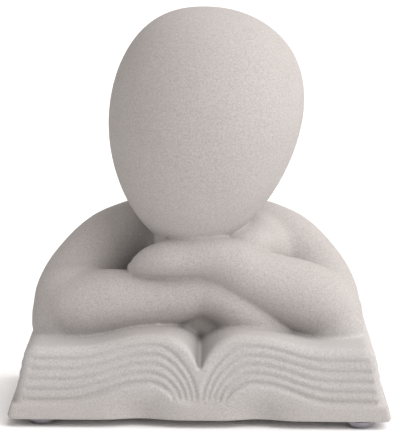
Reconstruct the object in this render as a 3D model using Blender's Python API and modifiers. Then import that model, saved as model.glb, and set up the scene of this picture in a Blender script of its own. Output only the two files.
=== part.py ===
"""Ceramic figure with a smooth egg-shaped head, arms folded on an open book.

The figure and the book are one cast solid. Four clear pads stand under it.
Units are metres, +Z is up, the front looks along -Y, and the pads stand on Z = 0.
"""
import math

import bmesh
import bpy
from mathutils import Matrix, Vector
from mathutils.geometry import interpolate_bezier

# Clear pads under the corners; the front right one is stuck on nearer to its corner
PAD_HEIGHT = 0.0027
PAD_RADIUS = 0.0056
PAD_FOOT_RADIUS = 0.0026
PAD_GAP = 0.0003
PAD_SIDE_INSET = 0.0124
PAD_FRONT_INSET = 0.0080
PAD_RIGHT_SIDE_INSET = 0.0111
PAD_RIGHT_FRONT_INSET = 0.0058
PAD_BACK_INSET = 0.0090
PAD_STEPS = 20
PAD_CURVE_STEPS = 4

# Open book: widths, depth, and heights above its underside
BOOK_WIDTH = 0.1398
BOOK_DEPTH = 0.0920
PAGE_TOP_WIDTH = 0.1266
COVER_PROUD = 0.0010
COVER_EDGE_HEIGHT = 0.0056
COVER_CREST_HEIGHT = 0.0127
COVER_SPINE_HEIGHT = 0.0054
PAGE_EDGE_HEIGHT = 0.0264
PAGE_CREST_HEIGHT = 0.0312
PAGE_CREST_OFFSET = 0.0155
COVER_CREST_OFFSET = 0.0190

# Valley between the pages; its floor rises from both faces towards the middle
GUTTER_HEIGHT = 0.0190
GUTTER_INNER_HEIGHT = 0.0246
GUTTER_SLOPE_REACH = 0.0230
GUTTER_SLOPE_STEPS = 5
GUTTER_HALF_WIDTH = 0.0006
GUTTER_LEAN = 0.33

# How the page lines bend, as shares of their rise or run
FOOT_PULL = 0.55
CREST_PULL = 0.58
COVER_PULL = 0.50
LINE_FOOT_PULL = 0.50
LINE_CREST_PULL = 0.40
EDGE_FLAT_SHARE = 0.76
EDGE_BEND_SHARE = 0.45

# Rounding of the book's edges
PAGE_EDGE_ROUND = 0.0036
PAGE_CORNER_ROUND = 0.0052
PAGE_CORNER_SWEEP = 82.0
COVER_EDGE_ROUND = 0.0016
BASE_ROUND = 0.0018
BASE_TRIM = 0.0006
GUTTER_INSET_SHARE = 0.3
ROUND_STEPS = 4

# Dimples low on the front of the cover
SCOOP_OFFSET = 0.0215
SCOOP_SIZE = (0.0130, 0.0095, 0.0085)
SCOOP_DEPTH = 0.0026

# Page lines carved round the block
LINE_COUNT = 5
LINE_WIDTH = 0.0017
LINE_TAPER = 0.5
LINE_FIRST_SHARE = 0.21
LINE_LAST_SHARE = 0.93
LINE_FOOT_HEIGHT = 0.0066
LINE_FOOT_FIRST = 0.0011
LINE_FOOT_STEP = 0.0020
LINE_END_MARGIN = 0.0022
LINE_CORNER_MARGIN = 0.0014
BEND_POINTS = 11
LINE_BEND_POINTS = 6

# Figure, from the page edges up to the crown, a little left of the book's middle
FIGURE_HEIGHT = 0.1208
FIGURE_SHIFT = -0.0005

# The figure's own places and radii are counted in this unit, about a millimetre
UNIT = FIGURE_HEIGHT / 120.8

# Casting detail
ROUGH_VOXEL = 0.0015
FINE_VOXEL = 0.0011
SHOULDER_SMOOTH_COUNT = 22
CASTING_SMOOTH_COUNT = 2
FIGURE_TRIANGLES = 5600
SHARP_ANGLE = 35.0

# Derived levels
UNDERSIDE = PAD_HEIGHT + PAD_GAP
PAGE_EDGE_LEVEL = UNDERSIDE + PAGE_EDGE_HEIGHT
BOOK_FRONT = -BOOK_DEPTH / 2
BOOK_BACK = BOOK_DEPTH / 2

PARTS = bpy.data.collections.new("reading_figure")
CUTTERS = bpy.data.collections.new("cutters")
GROOVES = bpy.data.collections.new("grooves")
SCOOPS = bpy.data.collections.new("scoops")
TRIMS = bpy.data.collections.new("trims")


def clear_scene():
    for thing in list(bpy.data.objects):
        bpy.data.objects.remove(thing, do_unlink=True)
    bpy.context.scene.collection.children.link(PARTS)
    bpy.context.scene.collection.children.link(CUTTERS)
    for tools in (GROOVES, SCOOPS, TRIMS):
        CUTTERS.children.link(tools)


def material(name, colour, roughness, transmission=0.0):
    made = bpy.data.materials.new(name)
    made.use_nodes = True
    shader = made.node_tree.nodes["Principled BSDF"]
    shader.inputs["Base Color"].default_value = (*colour, 1.0)
    shader.inputs["Roughness"].default_value = roughness
    shader.inputs["Metallic"].default_value = 0.0
    shader.inputs["Transmission Weight"].default_value = transmission
    return made


def mesh_object(name, form, collection=CUTTERS):
    """A new object from a bmesh, which is freed."""
    bmesh.ops.recalc_face_normals(form, faces=form.faces)
    mesh = bpy.data.meshes.new(name)
    form.to_mesh(mesh)
    form.free()
    made = bpy.data.objects.new(name, mesh)
    collection.objects.link(made)
    return made


def baked(thing, name, collection=CUTTERS):
    """The object with its modifiers or curve bevel turned into plain mesh, in its place."""
    bpy.context.view_layer.update()
    seen = thing.evaluated_get(bpy.context.evaluated_depsgraph_get())
    mesh = bpy.data.meshes.new_from_object(seen)
    form = bmesh.new()
    form.from_mesh(mesh)
    bmesh.ops.remove_doubles(form, verts=form.verts, dist=0.00001)
    form.transform(thing.matrix_world)
    bpy.data.objects.remove(thing, do_unlink=True)
    return mesh_object(name, form, collection)


def joined(things, name):
    """Several closed forms as one object; they are fused later."""
    form = bmesh.new()
    for thing in things:
        copy = thing.data.copy()
        copy.transform(thing.matrix_world)
        form.from_mesh(copy)
        bpy.data.objects.remove(thing, do_unlink=True)
    return mesh_object(name, form)


def fused(things, name, voxel, rounds):
    """One skin around several forms, its seams and edges softened."""
    made = joined(things, name)
    skin = made.modifiers.new("skin", "REMESH")
    skin.mode = "VOXEL"
    skin.voxel_size = voxel
    skin.adaptivity = 0.0
    soften = made.modifiers.new("soften", "SMOOTH")
    soften.factor = 0.5
    soften.iterations = rounds
    return baked(made, name)


def carved(thing, tool_collection, name):
    """The object with every cutter of a collection taken away."""
    cut = thing.modifiers.new("cut", "BOOLEAN")
    cut.operation = "DIFFERENCE"
    cut.solver = "EXACT"
    cut.operand_type = "COLLECTION"
    cut.collection = tool_collection
    return baked(thing, name)


def spot(x, y, z):
    """A place on the figure: x to the viewer's right, y back, z above the page edges."""
    return Vector((x, y, z)) * UNIT + Vector((FIGURE_SHIFT, 0.0, PAGE_EDGE_LEVEL))


def ellipsoid(name, centre, radii):
    form = bmesh.new()
    bmesh.ops.create_uvsphere(form, u_segments=32, v_segments=20, radius=1.0)
    grow = Matrix.Diagonal((*[radius * UNIT for radius in radii], 1.0))
    form.transform(Matrix.Translation(spot(*centre)) @ grow)
    return mesh_object(name, form)


def limb(name, stations):
    """A round limb along a smooth line; a station is a place and the limb's radius there."""
    curve = bpy.data.curves.new(name, "CURVE")
    curve.dimensions = "3D"
    curve.bevel_depth = UNIT
    curve.bevel_resolution = 6
    curve.use_fill_caps = True
    line = curve.splines.new("BEZIER")
    line.resolution_u = 8
    line.bezier_points.add(len(stations) - 1)
    for point, (place, radius) in zip(line.bezier_points, stations):
        point.co = spot(*place)
        point.radius = radius
        point.handle_left_type = "AUTO"
        point.handle_right_type = "AUTO"
    tube = bpy.data.objects.new(name, curve)
    CUTTERS.objects.link(tube)
    made = [baked(tube, name)]
    for place, radius in (stations[0], stations[-1]):
        made.append(ellipsoid(name + "_end", place, (radius, radius, radius)))
    return made


# Book

def between(low, high, share):
    return low + (high - low) * share


def side_half_width(height):
    """Half the width of the page block at a height above the underside; its ends slope."""
    low = BOOK_WIDTH / 2 - COVER_PROUD
    return between(low, PAGE_TOP_WIDTH / 2, height / PAGE_EDGE_HEIGHT)


def half_line(edge_height, crest, foot, foot_pull, crest_pull, count=BEND_POINTS):
    """A page line from the spine out to the fore edge, as x and height, on the right half.

    foot_pull is how the line sets off from its foot, and crest_pull how far it runs level
    before the crest. Each of its two bends has count points.
    """
    side = side_half_width(edge_height)
    level = Vector((crest_pull, 0.0))
    inner = interpolate_bezier(foot, foot + foot_pull, crest - level, crest, count)
    shoulder = Vector((side * EDGE_FLAT_SHARE, edge_height))
    span = Vector((shoulder.x - crest.x, 0.0)) * EDGE_BEND_SHARE
    outer = interpolate_bezier(crest, crest + span, shoulder - span, shoulder, count)
    return inner + outer[1:] + [Vector((side, edge_height))]


def corner_arc(inset):
    """The round corner between the page tops and the fore edge, as x and height."""
    level = PAGE_EDGE_HEIGHT - inset - PAGE_CORNER_ROUND
    across = side_half_width(level) - inset - PAGE_CORNER_ROUND
    points = []
    for index in range(ROUND_STEPS + 1):
        angle = math.radians(90.0 - PAGE_CORNER_SWEEP * index / ROUND_STEPS)
        points.append(Vector((across + PAGE_CORNER_ROUND * math.cos(angle),
                              level + PAGE_CORNER_ROUND * math.sin(angle))))
    return points


def top_line(inset, gutter_height):
    """The page tops of the right half, from the valley floor out and round the corner."""
    crest = Vector((PAGE_CREST_OFFSET, PAGE_CREST_HEIGHT - inset))
    foot = Vector((GUTTER_HALF_WIDTH, gutter_height - inset * GUTTER_INSET_SHARE))
    drop = crest.y - foot.y
    foot_pull = Vector((drop * GUTTER_LEAN, drop)) * FOOT_PULL
    line = half_line(PAGE_EDGE_HEIGHT - inset, crest, foot, foot_pull, crest.x * CREST_PULL)
    return line[:-1] + corner_arc(inset)


def cover_line():
    crest = Vector((COVER_CREST_OFFSET, COVER_CREST_HEIGHT))
    foot = Vector((0.0, COVER_SPINE_HEIGHT))
    reach = crest.x * COVER_PULL
    return half_line(COVER_EDGE_HEIGHT, crest, foot, Vector((reach, 0.0)), reach)


def page_line(index):
    """One carved line; they lie between the page tops and the cover."""
    step = (LINE_LAST_SHARE - LINE_FIRST_SHARE) / (LINE_COUNT - 1)
    share = LINE_FIRST_SHARE + step * index
    crest = Vector((
        between(PAGE_CREST_OFFSET, COVER_CREST_OFFSET, share),
        between(PAGE_CREST_HEIGHT, COVER_CREST_HEIGHT, share),
    ))
    foot = Vector((LINE_FOOT_FIRST + LINE_FOOT_STEP * index, LINE_FOOT_HEIGHT))
    edge_height = between(PAGE_EDGE_HEIGHT, COVER_EDGE_HEIGHT, share)
    foot_pull = Vector((0.0, (crest.y - foot.y) * LINE_FOOT_PULL))
    crest_pull = (crest.x - foot.x) * LINE_CREST_PULL
    return half_line(edge_height, crest, foot, foot_pull, crest_pull, LINE_BEND_POINTS)


def closed_outline(half_top, bottom_half_width, inset):
    """A whole section: both halves of the top, then round the lower corners to the underside."""
    right = list(half_top)
    for index in range(ROUND_STEPS + 1):
        angle = math.radians(90.0) * index / ROUND_STEPS
        right.append(Vector((bottom_half_width - inset - BASE_ROUND * (1.0 - math.cos(angle)),
                             BASE_ROUND * (1.0 - math.sin(angle)) - BASE_TRIM)))
    left = [Vector((-point.x, point.y)) for point in reversed(right)]
    return left + right


def loft(name, sections):
    """A closed block through sections of equal point counts, each a depth and an outline."""
    form = bmesh.new()
    rings = []
    for depth, outline in sections:
        rings.append([form.verts.new((point.x, depth, UNDERSIDE + point.y)) for point in outline])
    for near, far in zip(rings, rings[1:]):
        for index in range(len(near)):
            after = (index + 1) % len(near)
            form.faces.new((near[index], near[after], far[after], far[index]))
    form.faces.new(rings[0])
    form.faces.new(list(reversed(rings[-1])))
    return mesh_object(name, form)


def rounded_block(name, outline_at, front, back, edge_round):
    """A block whose outline draws in near both faces, so the edges there are round.

    outline_at takes the inset from the full outline and the share of the slope passed.
    """
    sections = []
    for index in range(ROUND_STEPS + 1):
        angle = math.radians(90.0) * index / ROUND_STEPS
        inset = edge_round * (1.0 - math.sin(angle))
        depth = edge_round * (1.0 - math.cos(angle))
        sections.append((front + depth, outline_at(inset, 0.0)))
    for index in range(1, GUTTER_SLOPE_STEPS + 1):
        share = index / GUTTER_SLOPE_STEPS
        sections.append((front + edge_round + GUTTER_SLOPE_REACH * share, outline_at(0.0, share)))
    mirrored = [(front + back - depth, outline) for depth, outline in reversed(sections)]
    return loft(name, sections + mirrored)


def page_block():
    def outline_at(inset, share):
        rise = share * share * (3.0 - 2.0 * share)
        gutter_height = between(GUTTER_HEIGHT, GUTTER_INNER_HEIGHT, rise)
        foot_half_width = side_half_width(BASE_ROUND - BASE_TRIM)
        return closed_outline(top_line(inset, gutter_height), foot_half_width, inset)
    return rounded_block("pages", outline_at, BOOK_FRONT + COVER_PROUD, BOOK_BACK - COVER_PROUD,
                         PAGE_EDGE_ROUND)


def cover_board():
    def outline_at(inset, share):
        half_top = cover_line()
        half_top[-1] = half_top[-1] + Vector((COVER_PROUD - inset, 0.0))
        return closed_outline(half_top, BOOK_WIDTH / 2, inset)
    return rounded_block("cover", outline_at, BOOK_FRONT, BOOK_BACK, COVER_EDGE_ROUND)


# Figure

def upper_arm(name, side, reach):
    stations = (
        ((24.0 * side * reach, 17.0, 31.8), 14.2),
        ((33.0 * side * reach, 14.5, 27.8), 14.7),
        ((41.8 * side * reach, 8.5, 20.8), 14.2),
        ((48.0 * side * reach, -1.5, 12.8), 13.7),
        ((49.2 * side * reach, -11.0, 7.0), 13.4),
    )
    return limb(name, stations)


def shoulders():
    """Back, chest, neck and upper arms, fused with soft hollows between them."""
    forms = [
        ellipsoid("back", (-0.5, 21.0, 3.0), (54.0, 22.0, 46.5)),
        ellipsoid("chest", (20.0, 2.5, 28.0), (20.0, 17.5, 15.0)),
        ellipsoid("collar", (13.5, -10.0, 31.5), (14.0, 12.0, 10.0)),
    ]
    forms += limb("neck", (
        ((0.0, 14.0, 26.0), 22.0),
        ((0.0, 13.0, 41.0), 18.5),
        ((0.0, 8.0, 56.0), 18.0),
    ))
    forms += upper_arm("right_upper_arm", -1.0, 1.0)
    forms += upper_arm("left_upper_arm", 1.0, 0.96)
    return fused(forms, "shoulders", ROUGH_VOXEL, SHOULDER_SMOOTH_COUNT)


def lower_forearm():
    """The figure's right forearm and hand, lying on the pages, and the belly behind them."""
    return limb("right_forearm", (
        ((-49.2, -11.0, 6.0), 13.4),
        ((-44.5, -14.5, 8.4), 13.8),
        ((-36.0, -16.5, 10.8), 13.1),
        ((-22.0, -17.8, 12.4), 11.6),
        ((-9.0, -18.8, 14.2), 10.0),
        ((1.5, -19.4, 16.0), 8.7),
        ((9.0, -20.0, 13.8), 8.8),
        ((15.0, -20.4, 9.4), 8.9),
        ((22.0, -20.2, 4.8), 8.0),
        ((28.0, -19.0, 1.6), 6.4),
    )) + [
        ellipsoid("right_elbow", (-49.6, -12.0, 3.4), (13.0, 13.2, 11.6)),
        ellipsoid("right_elbow_bend", (-47.0, -8.0, 13.0), (14.6, 15.0, 12.0)),
        ellipsoid("belly", (2.0, -9.6, 6.0), (18.0, 11.0, 9.0)),
    ]


def upper_forearm():
    """The figure's left forearm and hand, crossing over the right, and the chin's rest on it."""
    return limb("left_forearm", (
        ((47.7, -11.0, 7.2), 13.4),
        ((43.0, -14.0, 11.6), 13.7),
        ((36.5, -16.0, 14.8), 13.4),
        ((27.0, -18.0, 18.6), 12.2),
        ((18.0, -20.0, 22.9), 10.8),
        ((9.5, -21.4, 27.9), 9.3),
        ((2.0, -22.2, 30.0), 8.3),
        ((-6.0, -22.9, 29.8), 7.6),
        ((-13.0, -23.5, 29.2), 6.9),
        ((-18.6, -22.8, 27.9), 5.5),
        ((-22.4, -21.4, 26.3), 3.9),
        ((-24.4, -20.6, 25.3), 2.4),
    )) + [
        ellipsoid("left_elbow", (48.4, -12.0, 3.4), (13.2, 13.2, 11.6)),
        ellipsoid("chin_rest", (-11.0, -15.0, 34.8), (6.2, 7.5, 5.0)),
    ]


def head():
    """An egg: round crown, longer and narrower towards the chin, which rests on the hand."""
    half_width = 36.1
    half_depth = 33.0
    crown = 38.4
    chin = 51.5
    crown_power = 2.2
    chin_power = 1.8
    crown_lean = 0.078
    crown_lean_fall = 1.3
    chin_lean = 0.096
    tilt = 0.10
    form = bmesh.new()
    bmesh.ops.create_uvsphere(form, u_segments=48, v_segments=40, radius=1.0)
    for vertex in form.verts:
        level = vertex.co.z
        girth = math.hypot(vertex.co.x, vertex.co.y)
        power = crown_power if level > 0.0 else chin_power
        swell = max(1.0 - abs(level) ** power, 0.0) ** (1.0 / power) / max(girth, 0.0001)
        rise = level * (crown if level > 0.0 else chin)
        lean = crown_lean * (1.0 - crown_lean_fall * level ** 2) if level > 0.0 else chin_lean
        across = vertex.co.x * swell * half_width + rise * lean
        deep = vertex.co.y * swell * half_depth + rise * tilt
        vertex.co = Vector((across, deep, rise)) * UNIT
    form.transform(Matrix.Translation(spot(2.0, -7.0, 82.4)))
    return mesh_object("head", form)


# Cutters

def groove(name, points):
    """A V-shaped cutter along points on the block's face, thinner at both ends."""
    curve = bpy.data.curves.new(name, "CURVE")
    curve.dimensions = "3D"
    curve.bevel_depth = LINE_WIDTH / 2
    curve.bevel_resolution = 0
    curve.use_fill_caps = True
    line = curve.splines.new("POLY")
    line.points.add(len(points) - 1)
    for point, place in zip(line.points, points):
        point.co = (*place, 1.0)
    line.points[0].radius = LINE_TAPER
    line.points[-1].radius = LINE_TAPER
    tube = bpy.data.objects.new(name, curve)
    CUTTERS.objects.link(tube)
    baked(tube, name, GROOVES)


def carve_pages(body):
    """Page lines on the front, the back and both fore edges."""
    front = BOOK_FRONT + COVER_PROUD
    back = BOOK_BACK - COVER_PROUD
    end_margin = PAGE_EDGE_ROUND + LINE_CORNER_MARGIN
    for index in range(LINE_COUNT):
        half = page_line(index)
        edge = half[-1]
        reach = edge.x - LINE_END_MARGIN
        kept = [point for point in half if point.x < reach] + [Vector((reach, edge.y))]
        for side in (-1.0, 1.0):
            for depth in (front, back):
                groove("line", [Vector((point.x * side, depth, UNDERSIDE + point.y))
                                for point in kept])
            groove("edge_line", [Vector((edge.x * side, depth, UNDERSIDE + edge.y))
                                 for depth in (front + end_margin, back - end_margin)])
    return carved(body, GROOVES, "lined")


def scooped(board):
    """Shallow dimples low on the front of the cover, under the crests of the pages."""
    for side in (-1.0, 1.0):
        form = bmesh.new()
        bmesh.ops.create_uvsphere(form, u_segments=24, v_segments=12, radius=1.0)
        middle = BOOK_FRONT - SCOOP_SIZE[1] + SCOOP_DEPTH
        place = Vector((SCOOP_OFFSET * side, middle, UNDERSIDE))
        form.transform(Matrix.Translation(place) @ Matrix.Diagonal((*SCOOP_SIZE, 1.0)))
        mesh_object("scoop", form, SCOOPS)
    return carved(board, SCOOPS, "cover")


def floor_cut():
    """A slab that trims the underside flat."""
    form = bmesh.new()
    bmesh.ops.create_cube(form, size=1.0)
    slab = Matrix.Diagonal((BOOK_WIDTH * 1.5, BOOK_DEPTH * 1.5, FIGURE_HEIGHT, 1.0))
    form.transform(Matrix.Translation((0.0, 0.0, UNDERSIDE - FIGURE_HEIGHT / 2)) @ slab)
    mesh_object("floor_slab", form, TRIMS)


def reading_figure(clay):
    """The whole casting: book, body, arms and head in one skin, then carved."""
    forms = [page_block(), scooped(cover_board()), shoulders(), head()]
    forms += lower_forearm() + upper_forearm()
    body = fused(forms, "casting", FINE_VOXEL, CASTING_SMOOTH_COUNT)
    thin = body.modifiers.new("thin", "DECIMATE")
    thin.ratio = FIGURE_TRIANGLES / sum(len(face.vertices) - 2 for face in body.data.polygons)
    body = baked(body, "casting")
    floor_cut()
    body = carved(body, TRIMS, "trimmed")
    body = carve_pages(body)
    body.name = "figure"
    body.data.materials.append(clay)
    body.data.shade_smooth()
    body.data.set_sharp_from_angle(angle=math.radians(SHARP_ANGLE))
    CUTTERS.objects.unlink(body)
    PARTS.objects.link(body)


def pad(name, x, y, rubber):
    """A clear bumper: a cone that narrows down to a small flat foot."""
    profile = [(0.0, 0.0), (PAD_FOOT_RADIUS, 0.0)]
    for index in range(1, PAD_CURVE_STEPS + 1):
        share = index / PAD_CURVE_STEPS
        bulge = math.sin(math.radians(90.0) * share)
        profile.append((between(PAD_FOOT_RADIUS, PAD_RADIUS, bulge), PAD_HEIGHT * share))
    profile.append((0.0, PAD_HEIGHT))
    form = bmesh.new()
    verts = [form.verts.new((radius, 0.0, level)) for radius, level in reversed(profile)]
    for first, second in zip(verts, verts[1:]):
        form.edges.new((first, second))
    mesh = bpy.data.meshes.new(name)
    form.to_mesh(mesh)
    form.free()
    made = bpy.data.objects.new(name, mesh)
    PARTS.objects.link(made)
    turn = made.modifiers.new("turn", "SCREW")
    turn.steps = PAD_STEPS
    turn.render_steps = PAD_STEPS
    turn.use_merge_vertices = True
    turn.merge_threshold = 0.00001
    made.location = (x, y, 0.0)
    made.data.materials.append(rubber)


def pads(rubber):
    side = BOOK_WIDTH / 2 - PAD_SIDE_INSET
    back = BOOK_BACK - PAD_BACK_INSET
    right_side = BOOK_WIDTH / 2 - PAD_RIGHT_SIDE_INSET
    pad("pad_front_left", -side, BOOK_FRONT + PAD_FRONT_INSET, rubber)
    pad("pad_front_right", right_side, BOOK_FRONT + PAD_RIGHT_FRONT_INSET, rubber)
    pad("pad_back_left", -side, back, rubber)
    pad("pad_back_right", side, back, rubber)


def tidy_up():
    """Remove the forms that only served to make the casting."""
    for collection in (CUTTERS, GROOVES, SCOOPS, TRIMS):
        for thing in list(collection.objects):
            bpy.data.objects.remove(thing, do_unlink=True)


clear_scene()
reading_figure(material("matte ceramic", (0.60, 0.57, 0.55), 0.85))
pads(material("clear soft plastic", (0.75, 0.74, 0.78), 0.25, 0.6))
tidy_up()
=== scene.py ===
"""Looks of the ceramic reading figure: the fine casting, clear pads, floor, light and camera."""

import math

import bmesh
import bpy
import numpy as np
from mathutils import Matrix, Vector
from mathutils.geometry import interpolate_bezier


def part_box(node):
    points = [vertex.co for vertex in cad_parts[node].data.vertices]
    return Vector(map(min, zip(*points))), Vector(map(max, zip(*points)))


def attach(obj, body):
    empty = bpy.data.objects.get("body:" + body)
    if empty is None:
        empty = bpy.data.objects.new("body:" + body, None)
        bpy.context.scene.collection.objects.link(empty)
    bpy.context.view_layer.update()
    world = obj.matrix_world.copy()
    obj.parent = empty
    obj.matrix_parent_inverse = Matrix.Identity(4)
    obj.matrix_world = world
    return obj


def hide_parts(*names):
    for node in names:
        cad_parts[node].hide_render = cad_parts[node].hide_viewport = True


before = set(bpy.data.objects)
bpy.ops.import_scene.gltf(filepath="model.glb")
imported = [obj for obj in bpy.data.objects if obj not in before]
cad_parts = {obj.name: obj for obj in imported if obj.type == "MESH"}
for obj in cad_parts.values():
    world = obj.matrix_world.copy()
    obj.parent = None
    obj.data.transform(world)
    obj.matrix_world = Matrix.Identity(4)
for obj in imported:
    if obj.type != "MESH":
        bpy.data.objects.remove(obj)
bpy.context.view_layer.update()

# Book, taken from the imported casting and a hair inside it; heights are above its underside
SKIN_INSET = 0.00004
FIGURE_LOW, FIGURE_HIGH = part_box("figure")
UNDERSIDE = FIGURE_LOW.z
BOOK_FRONT = FIGURE_LOW.y + SKIN_INSET
BOOK_BACK = FIGURE_HIGH.y - SKIN_INSET
BOOK_HALF_WIDTH = (FIGURE_HIGH.x - FIGURE_LOW.x) / 2 - SKIN_INSET
PAGE_TOP_HALF_WIDTH = 0.0633
COVER_PROUD = 0.0010
COVER_EDGE_HEIGHT = 0.0056
COVER_CREST_HEIGHT = 0.0127
COVER_SPINE_HEIGHT = 0.0054
PAGE_EDGE_HEIGHT = 0.0264
PAGE_CREST_HEIGHT = 0.0312
GUTTER_HEIGHT = 0.0190
GUTTER_INNER_HEIGHT = 0.0246
GUTTER_SLOPE_REACH = 0.0230
GUTTER_LEAN = 0.33
PAGE_CREST_OFFSET = 0.0155
COVER_CREST_OFFSET = 0.0190
EDGE_FLAT_SHARE = 0.76
EDGE_BEND_SHARE = 0.45
FOOT_PULL = 0.55
CREST_PULL = 0.58
COVER_PULL = 0.5
GUTTER_INSET_SHARE = 0.3
GUTTER_HALF_WIDTH = 0.0006
PAGE_EDGE_ROUND = 0.0036
PAGE_CORNER_ROUND = 0.0052
PAGE_CORNER_SWEEP = 82.0
BASE_ROUND = 0.0018
COVER_EDGE_ROUND = 0.0016
SCOOP_OFFSET = 0.0215
SCOOP_SIZE = (0.0085, 0.0070)
SCOOP_DEPTH = 0.0032
SCOOP_REACH = 0.012
BASE_TRIM = 0.0004

# Page lines
LINE_COUNT = 5
LINE_HALF_WIDTH = 0.00072
LINE_DEPTH = 0.00072
LINE_FADE = 0.0016
LINE_FIRST_SHARE = 0.21
LINE_LAST_SHARE = 0.93
LINE_FOOT_HEIGHT = 0.0066
LINE_FOOT_FIRST = 0.0011
LINE_FOOT_STEP = 0.0020
LINE_END_MARGIN = 0.0022
LINE_FOOT_PULL = 0.50
LINE_CREST_PULL = 0.40

# Where the page lines may be pressed in: how far above the page edges, how squarely a
# surface faces, and how deep behind the book's faces and ends
CARVE_HEADROOM = 0.008
CARVE_FACING = 0.6
CARVE_FACE_REACH = 0.004
CARVE_END_REACH = 0.003

# Point counts along the book's curves
LINE_POINTS = 32
CORNER_STEPS = 8
BASE_STEPS = 4
EDGE_STEPS = 10

# Figure: places are counted in a unit of about a millimetre, up from the page edges
PAGE_EDGE_LEVEL = UNDERSIDE + PAGE_EDGE_HEIGHT
CROWN_HEIGHT = 120.8
UNIT = (FIGURE_HIGH.z - PAGE_EDGE_LEVEL) / CROWN_HEIGHT
FIGURE_SHIFT = -0.0005
HEAD_CENTRE = (2.0, -7.0, 82.4)

# Casting detail; a melt spot is a place on the figure and its reach in metres
HEAD_SEGMENTS = (192, 128)
ELLIPSOID_SEGMENTS = (96, 64)
LIMB_ROUND_STEPS = 14
LIMB_LENGTH_STEPS = 20
WELD_GAP = 0.00001
SOFTEN_FACTOR = 0.5
ROUGH_VOXEL = 0.0012
SHOULDER_ROUNDS = 34
FINE_VOXEL = 0.00048
FINE_ROUNDS = 9
MELT_SPOTS = (
    ((2.5, -24.0, 7.0), 0.0062),
    ((-53.0, -18.0, 9.0), 0.0110),
    ((52.0, -18.0, 9.0), 0.0090),
)
MELT_ROUNDS = 170
MELT_LEAST_WEIGHT = 0.02
CASTING_TRIANGLES = 190000

# Tint of the pages' clay
PAGE_TINT = (1.05, 1.08, 1.09)
PAGE_TINT_FADE = 0.0015
COVER_TINT_SHARE = 0.35

# Camera, from the photograph's framing
PHOTO_HEIGHT = 433
CAMERA_DISTANCE = 0.950
CAMERA_HEIGHT_ANGLE = 8.0
CAMERA_SIDE_ANGLE = 0.3
CAMERA_ROLL = 0.45
METRES_PER_PIXEL = 0.000376
ORBIT_CENTRE = Vector((-0.0004, 0.0, 0.075))
CENTRE_ROW = 206.3
SENSOR_HEIGHT = 24.0
CLIP_START = 0.05

# Light: the key comes from the right, and the sky is brighter on that side
KEY_TOWARD = (0.64, -0.33, 0.74)
KEY_STRENGTH = 2.2
KEY_SPREAD = 75.0
KEY_COLOUR = (0.985, 0.99, 1.0)
SKY_LEVEL = 0.48
SKY_TOWARD = (0.58, 0.0, 0.64)
SKY_COLOUR = (1.0, 0.963, 0.943)
FLOOR_HALF_SIZE = 4.0
FLOOR_TONE = 0.94

WORK = bpy.data.collections.new("work")
bpy.context.scene.collection.children.link(WORK)


# Mesh helpers

def mesh_object(name, form):
    bmesh.ops.recalc_face_normals(form, faces=form.faces)
    mesh = bpy.data.meshes.new(name)
    form.to_mesh(mesh)
    form.free()
    made = bpy.data.objects.new(name, mesh)
    WORK.objects.link(made)
    return made


def baked(thing, name):
    """The object with its modifiers or curve bevel turned into plain mesh, in its place."""
    bpy.context.view_layer.update()
    seen = thing.evaluated_get(bpy.context.evaluated_depsgraph_get())
    mesh = bpy.data.meshes.new_from_object(seen)
    mesh.transform(thing.matrix_world)
    bpy.data.objects.remove(thing, do_unlink=True)
    made = bpy.data.objects.new(name, mesh)
    WORK.objects.link(made)
    return made


def closed(thing, name):
    """A baked curve tube with its caps welded on."""
    made = baked(thing, name)
    form = bmesh.new()
    form.from_mesh(made.data)
    bmesh.ops.remove_doubles(form, verts=form.verts, dist=WELD_GAP)
    bpy.data.objects.remove(made, do_unlink=True)
    return mesh_object(name, form)


def fused(things, name, voxel, rounds):
    """One skin around several closed forms, softened a little."""
    form = bmesh.new()
    for thing in things:
        form.from_mesh(thing.data)
        bpy.data.objects.remove(thing, do_unlink=True)
    made = mesh_object(name, form)
    skin = made.modifiers.new("skin", "REMESH")
    skin.mode = "VOXEL"
    skin.voxel_size = voxel
    soften = made.modifiers.new("soften", "SMOOTH")
    soften.factor = SOFTEN_FACTOR
    soften.iterations = rounds
    return baked(made, name)


def spot(x, y, z):
    """A place on the figure: x to the viewer's right, y back, z above the page edges."""
    return Vector((x, y, z)) * UNIT + Vector((FIGURE_SHIFT, 0.0, PAGE_EDGE_LEVEL))


def ellipsoid(name, centre, radii):
    form = bmesh.new()
    around, up = ELLIPSOID_SEGMENTS
    bmesh.ops.create_uvsphere(form, u_segments=around, v_segments=up, radius=1.0)
    grow = Matrix.Diagonal((*[radius * UNIT for radius in radii], 1.0))
    form.transform(Matrix.Translation(spot(*centre)) @ grow)
    return mesh_object(name, form)


def limb(name, stations):
    """A round limb along a smooth line; a station is a place and the limb's radius there."""
    curve = bpy.data.curves.new(name, "CURVE")
    curve.dimensions = "3D"
    curve.bevel_depth = UNIT
    curve.bevel_resolution = LIMB_ROUND_STEPS
    curve.use_fill_caps = True
    line = curve.splines.new("BEZIER")
    line.resolution_u = LIMB_LENGTH_STEPS
    line.bezier_points.add(len(stations) - 1)
    for point, (place, radius) in zip(line.bezier_points, stations):
        point.co = spot(*place)
        point.radius = radius
        point.handle_left_type = "AUTO"
        point.handle_right_type = "AUTO"
    tube = bpy.data.objects.new(name, curve)
    WORK.objects.link(tube)
    made = [closed(tube, name)]
    for place, radius in (stations[0], stations[-1]):
        made.append(ellipsoid(name + "_end", place, (radius, radius, radius)))
    return made


# Book

def between(low, high, share):
    return low + (high - low) * share


def side_half_width(height):
    """Half the width of the page block at a height above the underside; its ends slope."""
    low = BOOK_HALF_WIDTH - COVER_PROUD
    return between(low, PAGE_TOP_HALF_WIDTH, height / PAGE_EDGE_HEIGHT)


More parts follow.
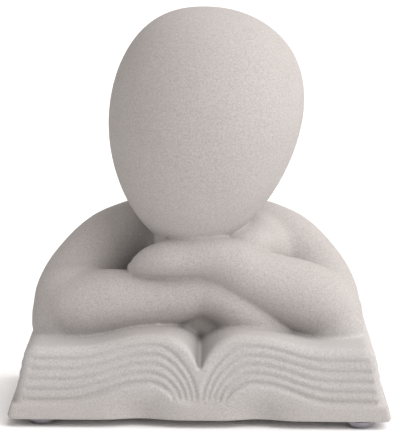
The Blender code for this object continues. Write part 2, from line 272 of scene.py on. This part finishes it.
def half_line(edge_height, crest, foot, foot_pull, crest_pull):
    """A page line from the spine out to the fore edge, as x and height, on the right half.

    foot_pull is how the line sets off from its foot, and crest_pull how far it runs level
    before the crest.
    """
    side = side_half_width(edge_height)
    level = Vector((crest_pull, 0.0))
    inner = interpolate_bezier(foot, foot + foot_pull, crest - level, crest, LINE_POINTS)
    shoulder = Vector((side * EDGE_FLAT_SHARE, edge_height))
    span = Vector((shoulder.x - crest.x, 0.0)) * EDGE_BEND_SHARE
    outer = interpolate_bezier(crest, crest + span, shoulder - span, shoulder, LINE_POINTS)
    return inner + outer[1:] + [Vector((side, edge_height))]


def top_line(inset, gutter_height):
    crest = Vector((PAGE_CREST_OFFSET, PAGE_CREST_HEIGHT - inset))
    foot = Vector((GUTTER_HALF_WIDTH, gutter_height - inset * GUTTER_INSET_SHARE))
    drop = crest.y - foot.y
    foot_pull = Vector((drop * GUTTER_LEAN, drop)) * FOOT_PULL
    line = half_line(PAGE_EDGE_HEIGHT - inset, crest, foot, foot_pull, crest.x * CREST_PULL)
    return line[:-1] + corner_arc(inset)


def corner_arc(inset):
    """The round corner between the page tops and the fore edge, as x and height."""
    level = PAGE_EDGE_HEIGHT - inset - PAGE_CORNER_ROUND
    across = side_half_width(level) - inset - PAGE_CORNER_ROUND
    points = []
    for index in range(CORNER_STEPS + 1):
        angle = math.radians(90.0 - PAGE_CORNER_SWEEP * index / CORNER_STEPS)
        points.append(Vector((across + PAGE_CORNER_ROUND * math.cos(angle),
                              level + PAGE_CORNER_ROUND * math.sin(angle))))
    return points


def cover_line():
    crest = Vector((COVER_CREST_OFFSET, COVER_CREST_HEIGHT))
    foot = Vector((0.0, COVER_SPINE_HEIGHT))
    reach = crest.x * COVER_PULL
    return half_line(COVER_EDGE_HEIGHT, crest, foot, Vector((reach, 0.0)), reach)


def page_line(index):
    step = (LINE_LAST_SHARE - LINE_FIRST_SHARE) / (LINE_COUNT - 1)
    share = LINE_FIRST_SHARE + step * index
    crest = Vector((
        between(PAGE_CREST_OFFSET, COVER_CREST_OFFSET, share),
        between(PAGE_CREST_HEIGHT, COVER_CREST_HEIGHT, share),
    ))
    foot = Vector((LINE_FOOT_FIRST + LINE_FOOT_STEP * index, LINE_FOOT_HEIGHT))
    edge_height = between(PAGE_EDGE_HEIGHT, COVER_EDGE_HEIGHT, share)
    foot_pull = Vector((0.0, (crest.y - foot.y) * LINE_FOOT_PULL))
    return half_line(edge_height, crest, foot, foot_pull, (crest.x - foot.x) * LINE_CREST_PULL)


def closed_outline(half_top, bottom_half_width, inset):
    """A whole section: both halves of the top, then round the lower corners to the underside."""
    right = list(half_top)
    for index in range(BASE_STEPS + 1):
        angle = math.radians(90.0) * index / BASE_STEPS
        right.append(Vector((bottom_half_width - inset - BASE_ROUND * (1.0 - math.cos(angle)),
                             BASE_ROUND * (1.0 - math.sin(angle)) - BASE_TRIM)))
    left = [Vector((-point.x, point.y)) for point in reversed(right)]
    return left + right


def loft(name, sections):
    """A closed block through sections of equal point counts, each a depth and an outline."""
    form = bmesh.new()
    rings = []
    for depth, outline in sections:
        rings.append([form.verts.new((point.x, depth, UNDERSIDE + point.y)) for point in outline])
    for near, far in zip(rings, rings[1:]):
        for index in range(len(near)):
            after = (index + 1) % len(near)
            form.faces.new((near[index], near[after], far[after], far[index]))
    form.faces.new(rings[0])
    form.faces.new(list(reversed(rings[-1])))
    return mesh_object(name, form)


def rounded_block(name, outline_at, front, back, edge_round):
    """A block whose outline draws in near both faces, so the edges there are round."""
    sections = []
    for index in range(EDGE_STEPS + 1):
        angle = math.radians(90.0) * index / EDGE_STEPS
        inset = edge_round * (1.0 - math.sin(angle))
        depth = edge_round * (1.0 - math.cos(angle))
        sections.append((front + depth, outline_at(inset, 0.0)))
    for index in range(1, EDGE_STEPS + 1):
        share = index / EDGE_STEPS
        sections.append((front + edge_round + GUTTER_SLOPE_REACH * share, outline_at(0.0, share)))
    mirrored = [(front + back - depth, outline) for depth, outline in reversed(sections)]
    return loft(name, sections + mirrored)


def page_block():
    """The pages; the valley between them rises from both faces towards the middle."""
    def outline_at(inset, share):
        rise = share * share * (3.0 - 2.0 * share)
        gutter_height = between(GUTTER_HEIGHT, GUTTER_INNER_HEIGHT, rise)
        foot_half_width = side_half_width(BASE_ROUND - BASE_TRIM)
        return closed_outline(top_line(inset, gutter_height), foot_half_width, inset)
    return rounded_block("pages", outline_at, BOOK_FRONT + COVER_PROUD, BOOK_BACK - COVER_PROUD,
                         PAGE_EDGE_ROUND)


def cover_board():
    def outline_at(inset, share):
        half_top = cover_line()
        half_top[-1] = half_top[-1] + Vector((COVER_PROUD - inset, 0.0))
        return closed_outline(half_top, BOOK_HALF_WIDTH, inset)
    return rounded_block("cover", outline_at, BOOK_FRONT, BOOK_BACK, COVER_EDGE_ROUND)


# Figure

def upper_arm(name, reach):
    """An upper arm; reach is -1 on the viewer's left, and scales how far out the arm lies."""
    stations = (
        ((24.0 * reach, 17.0, 31.8), 14.2),
        ((33.0 * reach, 14.5, 27.8), 14.7),
        ((41.8 * reach, 8.5, 20.8), 14.2),
        ((48.0 * reach, -1.5, 12.8), 13.7),
        ((49.2 * reach, -11.0, 7.0), 13.4),
    )
    return limb(name, stations)


def shoulders():
    """Back, chest, neck and upper arms, fused with soft hollows between them."""
    forms = [ellipsoid("back", (-0.5, 21.0, 3.0), (54.0, 22.0, 46.5))]
    forms += limb("neck", (
        ((0.0, 14.0, 26.0), 22.0),
        ((0.0, 13.0, 41.0), 18.5),
        ((0.0, 8.0, 56.0), 18.0),
    ))
    forms += upper_arm("right_upper_arm", -1.0)
    forms += upper_arm("left_upper_arm", 0.96)
    forms.append(ellipsoid("chest", (16.6, 3.4, 28.6), (17.2, 17.5, 15.2)))
    forms.append(ellipsoid("collar", (13.5, -9.6, 31.5), (14.0, 12.2, 10.4)))
    return fused(forms, "shoulders", ROUGH_VOXEL, SHOULDER_ROUNDS)


def lower_forearm():
    """The figure's right forearm and hand, lying on the pages."""
    return limb("right_forearm", (
        ((-49.2, -11.0, 6.0), 13.4),
        ((-44.5, -14.5, 8.4), 13.8),
        ((-36.0, -16.5, 10.8), 13.1),
        ((-22.0, -17.8, 12.4), 11.6),
        ((-9.0, -18.8, 14.2), 10.0),
        ((1.5, -19.4, 16.0), 8.7),
        ((9.0, -20.0, 13.8), 8.8),
        ((15.0, -20.4, 9.4), 8.9),
        ((22.0, -20.2, 4.8), 8.0),
        ((28.0, -19.0, 1.6), 6.4),
    )) + [
        ellipsoid("right_elbow", (-49.6, -12.0, 3.4), (13.0, 13.2, 11.6)),
        ellipsoid("right_elbow_bend", (-47.0, -8.0, 13.0), (14.6, 15.0, 12.0)),
        ellipsoid("belly", (2.0, -9.6, 6.0), (18.0, 11.0, 9.0)),
    ]


def upper_forearm():
    """The figure's left forearm, which crosses over the right one, and its hand."""
    return limb("left_forearm", (
        ((47.7, -11.0, 7.2), 13.4),
        ((43.0, -14.0, 11.6), 13.7),
        ((36.5, -16.0, 14.8), 13.4),
        ((27.0, -18.0, 18.6), 12.2),
        ((18.0, -20.0, 22.9), 10.8),
        ((9.5, -21.4, 27.9), 9.3),
        ((2.0, -22.2, 30.0), 8.3),
        ((-6.0, -22.9, 29.8), 7.6),
        ((-13.0, -23.5, 29.2), 6.9),
        ((-18.6, -22.8, 27.9), 5.5),
        ((-22.4, -21.4, 26.3), 3.9),
        ((-24.4, -20.6, 25.3), 2.4),
    )) + [
        ellipsoid("left_elbow", (48.4, -12.0, 3.4), (13.2, 13.2, 11.6)),
        ellipsoid("chin_rest", (-11.0, -15.0, 34.8), (6.2, 7.5, 5.0)),
    ]


def head():
    """An egg: round crown, longer and narrower towards the chin, which rests on the hand."""
    half_width = 36.1
    half_depth = 33.0
    crown = 38.4
    chin = 51.5
    crown_power = 2.2
    chin_power = 1.8
    crown_lean = 0.078
    crown_lean_fade = 1.3
    chin_lean = 0.096
    tilt = 0.10
    least_girth = 0.0001
    form = bmesh.new()
    around, up = HEAD_SEGMENTS
    bmesh.ops.create_uvsphere(form, u_segments=around, v_segments=up, radius=1.0)
    for vertex in form.verts:
        level = vertex.co.z
        girth = math.hypot(vertex.co.x, vertex.co.y)
        power = crown_power if level > 0.0 else chin_power
        swell = max(1.0 - abs(level) ** power, 0.0) ** (1.0 / power) / max(girth, least_girth)
        rise = level * (crown if level > 0.0 else chin)
        fade = 1.0 - crown_lean_fade * level ** 2
        lean = crown_lean * fade if level > 0.0 else chin_lean
        across = vertex.co.x * swell * half_width + rise * lean
        deep = vertex.co.y * swell * half_depth + rise * tilt
        vertex.co = Vector((across, deep, rise)) * UNIT
    form.transform(Matrix.Translation(spot(*HEAD_CENTRE)))
    return mesh_object("head", form)


# Carving

def line_gap(points, line):
    """How far each point lies from a line of points, and from its two ends."""
    nearest = np.full(len(points), np.inf)
    for start, end in zip(line, line[1:]):
        along = end - start
        length = float(along @ along)
        share = np.clip(((points - start) @ along) / length, 0.0, 1.0)
        gap = np.linalg.norm(points - start - share[:, None] * along, axis=1)
        nearest = np.minimum(nearest, gap)
    ends = np.minimum(np.linalg.norm(points - line[0], axis=1),
                      np.linalg.norm(points - line[-1], axis=1))
    return nearest, ends


def line_depth(points, line):
    """Depth of a soft groove at each point, fading out towards the line's ends."""
    gap, ends = line_gap(points, line)
    shape = np.exp(-((gap / LINE_HALF_WIDTH) ** 2))
    return LINE_DEPTH * shape * np.clip(ends / LINE_FADE, 0.0, 1.0)


def carve_pages(casting):
    """Press the page lines into the front, the back and both fore edges."""
    mesh = casting.data
    count = len(mesh.vertices)
    places = np.empty(count * 3)
    mesh.vertices.foreach_get("co", places)
    places = places.reshape(-1, 3)
    normals = np.empty(count * 3, np.float32)
    mesh.vertex_normals.foreach_get("vector", normals)
    normals = normals.reshape(-1, 3)
    low = places[:, 2] < PAGE_EDGE_LEVEL + CARVE_HEADROOM
    near_front = places[:, 1] < BOOK_FRONT + CARVE_FACE_REACH
    near_back = places[:, 1] > BOOK_BACK - CARVE_FACE_REACH
    near_face = low & (np.abs(normals[:, 1]) > CARVE_FACING) & (near_front | near_back)
    near_end = low & (np.abs(normals[:, 0]) > CARVE_FACING)
    near_end &= np.abs(places[:, 0]) > PAGE_TOP_HALF_WIDTH - CARVE_END_REACH
    faces = np.where(near_face)[0]
    ends = np.where(near_end)[0]
    depth = np.zeros(count)
    for index in range(LINE_COUNT):
        half = page_line(index)
        reach = half[-1].x - LINE_END_MARGIN
        kept = [point for point in half if point.x < reach] + [Vector((reach, half[-1].y))]
        line = np.array([(point.x, UNDERSIDE + point.y) for point in kept])
        mirrored = np.stack([np.abs(places[faces, 0]), places[faces, 2]], axis=1)
        depth[faces] = np.maximum(depth[faces], line_depth(mirrored, line))
        level = UNDERSIDE + half[-1].y
        end_line = np.array([(BOOK_FRONT + PAGE_EDGE_ROUND, level),
                             (BOOK_BACK - PAGE_EDGE_ROUND, level)])
        depth[ends] = np.maximum(depth[ends], line_depth(places[ends][:, 1:], end_line))
    places -= normals * depth[:, None]
    mesh.vertices.foreach_set("co", places.reshape(-1))
    mesh.update()


def scoop_cover(casting):
    """Two soft dimples low on the front of the cover, under the crests of the pages."""
    mesh = casting.data
    places = np.empty(len(mesh.vertices) * 3)
    mesh.vertices.foreach_get("co", places)
    places = places.reshape(-1, 3)
    across = (np.abs(places[:, 0]) - SCOOP_OFFSET) / SCOOP_SIZE[0]
    up = (places[:, 2] - UNDERSIDE) / SCOOP_SIZE[1]
    inward = np.clip((BOOK_FRONT + SCOOP_REACH - places[:, 1]) / SCOOP_REACH, 0.0, 1.0)
    places[:, 1] += SCOOP_DEPTH * np.exp(-across ** 2 - up ** 2) * inward
    mesh.vertices.foreach_set("co", places.reshape(-1))
    mesh.update()


def melted(casting):
    """Soften the hollow under the arms and the bends of both elbows."""
    count = len(casting.data.vertices)
    places = np.empty(count * 3)
    casting.data.vertices.foreach_get("co", places)
    weights = np.zeros(count)
    for place, reach in MELT_SPOTS:
        gap = np.linalg.norm(places.reshape(-1, 3) - np.array(spot(*place)), axis=1)
        weights = np.maximum(weights, np.exp(-((gap / reach) ** 2)))
    near = casting.vertex_groups.new(name="soft")
    for index in np.where(weights > MELT_LEAST_WEIGHT)[0]:
        near.add([int(index)], float(weights[index]), "REPLACE")
    melt = casting.modifiers.new("melt", "SMOOTH")
    melt.factor = SOFTEN_FACTOR
    melt.iterations = MELT_ROUNDS
    melt.vertex_group = near.name
    return baked(casting, "casting")


def trim_underside(casting):
    """Cut off what lies below the underside, so the base is one flat face."""
    mesh = casting.data
    form = bmesh.new()
    form.from_mesh(mesh)
    everything = form.verts[:] + form.edges[:] + form.faces[:]
    cut_line = bmesh.ops.bisect_plane(form, geom=everything, plane_co=(0.0, 0.0, UNDERSIDE),
                                      plane_no=(0.0, 0.0, -1.0), clear_outer=True)
    rim = [edge for edge in cut_line["geom_cut"] if isinstance(edge, bmesh.types.BMEdge)]
    bmesh.ops.contextual_create(form, geom=rim)
    form.to_mesh(mesh)
    form.free()


def thinned(casting):
    """The casting with fewer triangles on its plain stretches."""
    triangles = sum(len(face.vertices) - 2 for face in casting.data.polygons)
    thin = casting.modifiers.new("thin", "DECIMATE")
    thin.ratio = CASTING_TRIANGLES / triangles
    return baked(casting, casting.name)


def linked_groups(form):
    """The vertices of a form, as one list for each separate body."""
    groups = []
    for vertex in form.verts:
        vertex.tag = False
    for seed in form.verts:
        if seed.tag:
            continue
        seed.tag = True
        group = [seed]
        for vertex in group:
            for edge in vertex.link_edges:
                other = edge.other_vert(vertex)
                if not other.tag:
                    other.tag = True
                    group.append(other)
        groups.append(group)
    return groups


def drop_specks(casting):
    """Remove the tiny bodies that fusing and thinning leave loose, and keep the one skin."""
    form = bmesh.new()
    form.from_mesh(casting.data)
    groups = sorted(linked_groups(form), key=len)
    specks = [vertex for group in groups[:-1] for vertex in group]
    bmesh.ops.delete(form, geom=specks, context="VERTS")
    form.to_mesh(casting.data)
    form.free()


def make_casting():
    forms = [page_block(), cover_board(), shoulders(), head()]
    forms += lower_forearm() + upper_forearm()
    casting = melted(fused(forms, "casting", FINE_VOXEL, FINE_ROUNDS))
    carve_pages(casting)
    scoop_cover(casting)
    trim_underside(casting)
    casting = thinned(casting)
    drop_specks(casting)
    casting.name = "ceramic_casting"
    casting.data.shade_smooth()
    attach(casting, "root")
    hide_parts("figure")
    return casting


# Materials

def new_material(name):
    made = bpy.data.materials.new(name)
    made.use_nodes = True
    return made, made.node_tree.nodes, made.node_tree.links


def noise(nodes, links, source, scale, detail, roughness):
    made = nodes.new("ShaderNodeTexNoise")
    made.inputs["Scale"].default_value = scale
    made.inputs["Detail"].default_value = detail
    made.inputs["Roughness"].default_value = roughness
    links.new(source, made.inputs["Vector"])
    return made


def ramp(nodes, links, source, stops):
    made = nodes.new("ShaderNodeValToRGB")
    made.color_ramp.elements[0].position = stops[0][0]
    made.color_ramp.elements[0].color = (*stops[0][1], 1.0)
    made.color_ramp.elements[1].position = stops[-1][0]
    made.color_ramp.elements[1].color = (*stops[-1][1], 1.0)
    for position, colour in stops[1:-1]:
        made.color_ramp.elements.new(position).color = (*colour, 1.0)
    links.new(source, made.inputs["Fac"])
    return made


def fade_over(nodes, links, height, low, high):
    """A value that goes from one level to another over a span of height."""
    made = nodes.new("ShaderNodeMapRange")
    made.inputs["From Min"].default_value = low[0]
    made.inputs["From Max"].default_value = high[0]
    made.inputs["To Min"].default_value = low[1]
    made.inputs["To Max"].default_value = high[1]
    links.new(height, made.inputs["Value"])
    return made.outputs["Result"]


def paler_pages(nodes, links, place, colour):
    """The pages' clay is a little paler and greyer than the figure's and the cover's."""
    axes = nodes.new("ShaderNodeSeparateXYZ")
    links.new(place, axes.inputs["Vector"])
    height = axes.outputs["Z"]
    page_tops = fade_over(nodes, links, height, (PAGE_EDGE_LEVEL, 1.0),
                          (UNDERSIDE + PAGE_CREST_HEIGHT + PAGE_TINT_FADE, 0.0))
    page_foot = fade_over(nodes, links, height, (UNDERSIDE + COVER_EDGE_HEIGHT, COVER_TINT_SHARE),
                          (UNDERSIDE + COVER_CREST_HEIGHT, 1.0))
    share = nodes.new("ShaderNodeMath")
    share.operation = "MULTIPLY"
    links.new(page_tops, share.inputs[0])
    links.new(page_foot, share.inputs[1])
    tinted = nodes.new("ShaderNodeMix")
    tinted.data_type = "RGBA"
    tinted.blend_type = "MULTIPLY"
    tinted.clamp_result = False
    links.new(share.outputs["Value"], tinted.inputs["Factor"])
    links.new(colour, tinted.inputs["A"])
    tinted.inputs["B"].default_value = (*PAGE_TINT, 1.0)
    return tinted.outputs["Result"]


def ceramic_material():
    """Matte unglazed stoneware with a fine sandy grain."""
    made, nodes, links = new_material("matte ceramic")
    shader = nodes["Principled BSDF"]
    place = nodes.new("ShaderNodeTexCoord").outputs["Object"]
    grain = noise(nodes, links, place, scale=1700.0, detail=3.0, roughness=0.6)
    coarse = noise(nodes, links, place, scale=420.0, detail=2.0, roughness=0.5)
    cloud = noise(nodes, links, place, scale=28.0, detail=3.0, roughness=0.5)
    body = ramp(nodes, links, grain.outputs["Fac"], (
        (0.30, (0.360, 0.333, 0.319)),
        (0.50, (0.425, 0.398, 0.384)),
        (0.72, (0.490, 0.463, 0.449)),
    ))
    tone = ramp(nodes, links, cloud.outputs["Fac"], (
        (0.35, (0.95, 0.945, 0.945)),
        (0.65, (1.0, 1.0, 1.0)),
    ))
    mixed = nodes.new("ShaderNodeMix")
    mixed.data_type = "RGBA"
    mixed.blend_type = "MULTIPLY"
    mixed.inputs["Factor"].default_value = 1.0
    links.new(body.outputs["Color"], mixed.inputs["A"])
    links.new(tone.outputs["Color"], mixed.inputs["B"])
    links.new(paler_pages(nodes, links, place, mixed.outputs["Result"]),
              shader.inputs["Base Color"])
    shader.inputs["Roughness"].default_value = 0.9
    shader.inputs["Specular IOR Level"].default_value = 0.25
    pits = nodes.new("ShaderNodeBump")
    pits.inputs["Strength"].default_value = 0.35
    pits.inputs["Distance"].default_value = 0.00022
    links.new(grain.outputs["Fac"], pits.inputs["Height"])
    waves = nodes.new("ShaderNodeBump")
    waves.inputs["Strength"].default_value = 0.30
    waves.inputs["Distance"].default_value = 0.00030
    links.new(coarse.outputs["Fac"], waves.inputs["Height"])
    links.new(pits.outputs["Normal"], waves.inputs["Normal"])
    links.new(waves.outputs["Normal"], shader.inputs["Normal"])
    return made


def pad_material():
    """Half-clear soft plastic with a grey-violet tint and faint cloudiness."""
    made, nodes, links = new_material("clear soft plastic")
    shader = nodes["Principled BSDF"]
    place = nodes.new("ShaderNodeTexCoord").outputs["Object"]
    cloud = noise(nodes, links, place, scale=500.0, detail=2.0, roughness=0.5)
    tint = ramp(nodes, links, cloud.outputs["Fac"], (
        (0.3, (0.42, 0.39, 0.44)),
        (0.7, (0.48, 0.45, 0.50)),
    ))
    links.new(tint.outputs["Color"], shader.inputs["Base Color"])
    shader.inputs["Roughness"].default_value = 0.28
    shader.inputs["IOR"].default_value = 1.49
    shader.inputs["Transmission Weight"].default_value = 0.45
    return made


def dress_pads(clear):
    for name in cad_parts:
        if name.startswith("pad_"):
            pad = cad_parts[name]
            pad.data.materials.clear()
            pad.data.materials.append(clear)


# Room

def make_room():
    form = bmesh.new()
    bmesh.ops.create_grid(form, x_segments=1, y_segments=1, size=FLOOR_HALF_SIZE)
    mesh = bpy.data.meshes.new("floor")
    form.to_mesh(mesh)
    form.free()
    floor = bpy.data.objects.new("floor", mesh)
    bpy.context.scene.collection.objects.link(floor)
    paint, nodes, _ = new_material("pale floor")
    shader = nodes["Principled BSDF"]
    shader.inputs["Base Color"].default_value = (FLOOR_TONE, FLOOR_TONE, FLOOR_TONE, 1.0)
    shader.inputs["Roughness"].default_value = 0.9
    floor.data.materials.append(paint)
    make_sky()
    sun = bpy.data.lights.new("key", "SUN")
    sun.energy = KEY_STRENGTH
    sun.angle = math.radians(KEY_SPREAD)
    sun.color = KEY_COLOUR
    key = bpy.data.objects.new("key", sun)
    key.rotation_euler = (-Vector(KEY_TOWARD)).to_track_quat("-Z", "Y").to_euler()
    bpy.context.scene.collection.objects.link(key)


def make_sky():
    """Soft light from all round, brighter from the right and from above."""
    world = bpy.data.worlds.new("studio")
    world.use_nodes = True
    nodes, links = world.node_tree.nodes, world.node_tree.links
    backdrop = nodes["Background"]
    backdrop.inputs["Color"].default_value = (*SKY_COLOUR, 1.0)
    toward = nodes.new("ShaderNodeVectorMath")
    toward.operation = "DOT_PRODUCT"
    toward.inputs[1].default_value = SKY_TOWARD
    links.new(nodes.new("ShaderNodeTexCoord").outputs["Generated"], toward.inputs[0])
    level = nodes.new("ShaderNodeMath")
    level.operation = "ADD"
    level.use_clamp = False
    level.inputs[1].default_value = SKY_LEVEL
    links.new(toward.outputs["Value"], level.inputs[0])
    links.new(level.outputs["Value"], backdrop.inputs["Strength"])
    bpy.context.scene.world = world


def make_camera():
    """The photograph's view: a little above level, from slightly to the right."""
    height = math.radians(CAMERA_HEIGHT_ANGLE)
    side = math.radians(CAMERA_SIDE_ANGLE)
    back = Vector((math.sin(side) * math.cos(height), -math.cos(side) * math.cos(height),
                   math.sin(height)))
    lens_pixels = CAMERA_DISTANCE / METRES_PER_PIXEL
    place = ORBIT_CENTRE + back * CAMERA_DISTANCE
    aim_down = math.atan((PHOTO_HEIGHT / 2 - CENTRE_ROW) / lens_pixels)
    sideways = Vector((math.cos(side), math.sin(side), 0.0))
    forward = Matrix.Rotation(-aim_down, 3, sideways) @ -back
    camera = bpy.data.cameras.new("camera")
    camera.sensor_fit = "VERTICAL"
    camera.sensor_height = SENSOR_HEIGHT
    camera.lens = lens_pixels * camera.sensor_height / PHOTO_HEIGHT
    camera.clip_start = CLIP_START
    made = bpy.data.objects.new("camera", camera)
    roll = Matrix.Rotation(math.radians(CAMERA_ROLL), 3, "Z").to_quaternion()
    turn = forward.to_track_quat("-Z", "Y") @ roll
    made.matrix_world = Matrix.Translation(place) @ turn.to_matrix().to_4x4()
    bpy.context.scene.collection.objects.link(made)
    bpy.context.scene.camera = made


make_camera()
make_room()
bpy.context.scene.view_settings.view_transform = "Standard"
casting = make_casting()
casting.data.materials.clear()
casting.data.materials.append(ceramic_material())
dress_pads(pad_material())
